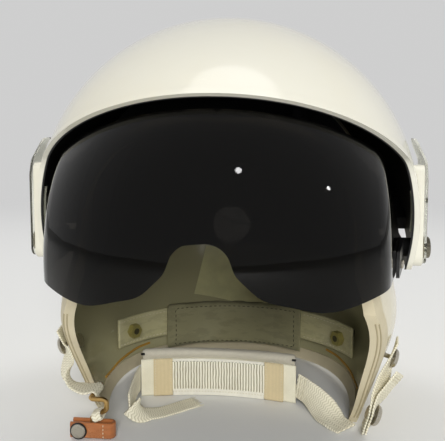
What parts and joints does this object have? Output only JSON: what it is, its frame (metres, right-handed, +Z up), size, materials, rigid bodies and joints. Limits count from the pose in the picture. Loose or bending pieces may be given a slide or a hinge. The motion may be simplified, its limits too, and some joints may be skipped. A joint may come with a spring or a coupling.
{
  "type": "flight helmet",
  "caption": "Pilot helmet with a white outer visor cover, lifting smoke bubble visor, cream shell, nape band and chin strap with a double hook.",
  "frame": {"origin": "on the surface it stands on, under the middle of its outer box", "axes": "+Z up, the face looks along -Y, +X to the left hand of the wearer"},
  "size_m": [0.278, 0.288, 0.281],
  "materials": {
    "shell_paint": "satin",
    "cover_paint": "gloss",
    "binding": "matte",
    "foam": "matte",
    "pad_leather": "matte",
    "smoke_lens": "gloss",
    "black_plastic": "satin",
    "clear_plastic": "gloss",
    "nickel": "satin",
    "brass": "satin",
    "black_rubber": "matte",
    "ivory_leather": "satin",
    "label_film": "satin",
    "webbing": "matte",
    "elastic": "matte",
    "pad_cloth": "matte",
    "tan_cloth": "matte",
    "tan_leather": "satin",
    "steel": "satin"
  },
  "bodies": {
    "helmet": {"inner_shell": "shell_paint", "edge_binding": "binding", "foam_liner": "foam", "brow_pad": "pad_leather", "crown_pad": "pad_leather", "rear_pad": "pad_leather", "rubber_bumper": "black_rubber", "visor_cover": "cover_paint", "cover_seal": "black_rubber", "nape_band": "ivory_leather", "nape_pad": "ivory_leather", "bare_label": "label_film", "side_pad_right": "pad_leather", "cover_screw_right": "nickel", "guide_clip_right": "clear_plastic", "side_guard_right": "clear_plastic", "guard_screw_right": "nickel", "pivot_stud_right": "steel", "shell_spacer_right": "black_plastic", "cover_spacer_right": "black_plastic", "brass_washer_right": "brass", "nape_nut_right": "brass", "nape_bolt_right": "nickel", "nape_standoff_right": "black_rubber", "strap_anchor_right": "nickel", "side_pad_left": "pad_leather", "cover_screw_left": "nickel", "guide_clip_left": "clear_plastic", "side_guard_left": "clear_plastic", "guard_screw_left": "nickel", "pivot_stud_left": "steel", "shell_spacer_left": "black_plastic", "cover_spacer_left": "black_plastic", "brass_washer_left": "brass", "nape_nut_left": "brass", "nape_bolt_left": "nickel", "nape_standoff_left": "black_rubber", "strap_anchor_left": "nickel"},
    "visor": {"visor_lens": "smoke_lens", "visor_arm_right": "black_plastic", "visor_arm_left": "black_plastic", "arm_rivet_right": "nickel", "arm_rivet_left": "nickel"},
    "knob_right": {"lock_knob_right": "nickel"},
    "knob_left": {"lock_knob_left": "nickel"},
    "right_strap": {"right_strap": "webbing", "right_strap_fold": "webbing", "right_snap": "nickel"},
    "chin_strap": {"chin_pad": "pad_cloth", "chin_elastic": "elastic", "chin_keeper_right": "tan_cloth", "chin_keeper_left": "tan_cloth", "chin_webbing_right": "webbing", "chin_webbing_left": "webbing", "chin_tail": "webbing"},
    "left_strap": {"left_strap": "webbing"},
    "hook": {"double_hook": "brass", "hook_loop": "webbing"},
    "tab": {"leather_tab": "tan_leather", "tab_snap": "nickel"}
  },
  "joints": [
    {"name": "visor_lift", "type": "hinge", "parent": "helmet", "child": "visor", "pos_m": [0, -0.01728, 0.124], "axis": [-1, 0, 0], "range_deg": [0, 50]},
    {"name": "right_knob_turn", "type": "hinge", "parent": "helmet", "child": "knob_right", "pos_m": [0.135, -0.01728, 0.124], "axis": [1, 0, 0], "range_deg": [0, 90]},
    {"name": "left_knob_turn", "type": "hinge", "parent": "helmet", "child": "knob_left", "pos_m": [-0.135, -0.01728, 0.124], "axis": [-1, 0, 0], "range_deg": [0, 90]},
    {"name": "right_strap_swing", "type": "hinge", "parent": "helmet", "child": "right_strap", "pos_m": [0.11422, -0.02728, 0.05], "axis": [-0.9489, 0, 0.3155], "range_deg": [0, 25]},
    {"name": "chin_strap_swing", "type": "hinge", "parent": "right_strap", "child": "chin_strap", "pos_m": [0.0844, -0.03431, 0.002], "axis": [0, 0, 1], "range_deg": [0, 17]},
    {"name": "left_strap_swing", "type": "hinge", "parent": "helmet", "child": "left_strap", "pos_m": [-0.11422, -0.02728, 0.05], "axis": [-0.9489, 0, -0.3155], "range_deg": [0, 25]},
    {"name": "hook_swing", "type": "hinge", "parent": "left_strap", "child": "hook", "pos_m": [-0.08562, -0.04862, 0.026], "axis": [0, 1, 0], "range_deg": [0, 20]},
    {"name": "tab_swing", "type": "hinge", "parent": "hook", "child": "tab", "pos_m": [-0.0773, -0.06062, 0.00478], "axis": [0, 1, 0], "range_deg": [0, 8]}
  ]
}
